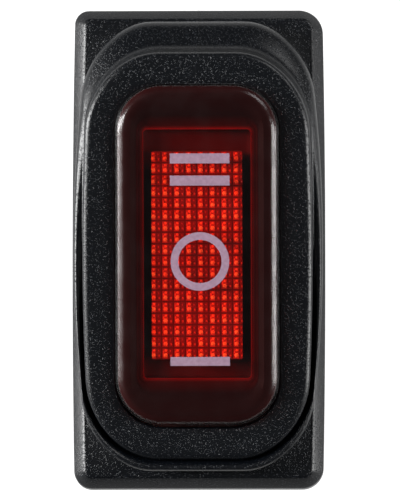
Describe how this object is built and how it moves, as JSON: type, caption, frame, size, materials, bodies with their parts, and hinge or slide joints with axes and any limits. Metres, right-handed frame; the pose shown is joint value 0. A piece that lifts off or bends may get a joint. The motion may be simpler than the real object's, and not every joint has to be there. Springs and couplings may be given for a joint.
{
  "type": "panel rocker switch",
  "caption": "Sealed illuminated rocker switch for a rectangular panel cut-out: rubber boot, red lens, snap-in body with contacts and blade terminals below.",
  "frame": {"origin": "middle of the rectangular cut-out, on the panel's front face, which is the plane the gasket seats on", "axes": "+Z out of the panel towards the user, +Y towards the end of the lens marked with two bars, +X across the switch"},
  "size_m": [0.0178, 0.034, 0.033],
  "materials": {
    "black_nylon": "moulded, fine matt",
    "black_rubber": "moulded silicone rubber, matt",
    "black_resin": "poured epoxy",
    "tinned_brass": "stamped, tin plated",
    "contact_silver": "silver alloy, headed",
    "spring_steel": "drawn wire",
    "red_lens": "moulded polycarbonate, polished",
    "board_laminate": "solder mask",
    "lamp_white": "moulded",
    "resistor_black": "glazed",
    "natural_acetal": "moulded, satin",
    "blade_copper": "rolled copper alloy"
  },
  "bodies": {
    "base": {"housing": "black_nylon", "panel_gasket": "black_rubber", "rubber_boot": "black_rubber", "base_seal": "black_resin", "terminal_common": "tinned_brass", "terminal_front": "tinned_brass", "terminal_rear": "tinned_brass", "fixed_contact_front": "contact_silver", "fixed_contact_rear": "contact_silver", "lamp_spring_front": "spring_steel", "lamp_spring_rear": "spring_steel"},
    "rocker": {"rocker_frame": "black_nylon", "lens": "red_lens", "lamp_board": "board_laminate", "lamp_led_front": "lamp_white", "lamp_led_rear": "lamp_white", "lamp_resistor": "resistor_black", "lamp_contact_front": "tinned_brass", "lamp_contact_rear": "tinned_brass", "plunger_spring": "spring_steel"},
    "plunger": {"plunger": "natural_acetal"},
    "contact": {"contact_blade": "blade_copper", "contact_button_front": "contact_silver", "contact_button_rear": "contact_silver"}
  },
  "joints": [
    {"name": "rocker_tilt", "type": "hinge", "parent": "base", "child": "rocker", "pos_m": [0, 0, 0.001], "axis": [1, 0, 0], "range_deg": [-17, 0], "deforming": ["rubber_boot", "lamp_spring_front", "lamp_spring_rear"]},
    {"name": "contact_tilt", "type": "hinge", "parent": "base", "child": "contact", "pos_m": [0, 0, -0.00867], "axis": [1, 0, 0], "range_deg": [0, 20]},
    {"name": "plunger_slide", "type": "slide", "parent": "rocker", "child": "plunger", "axis": [0, -0.1478, 0.989], "range_m": [0, 0.0006], "stiffness_N_per_m": 300, "springref_m": -0.005, "deforming": ["plunger_spring"]}
  ],
  "couplings": [
    {"joint": "contact_tilt", "follows": "rocker_tilt", "ratio": -1.1765}
  ]
}
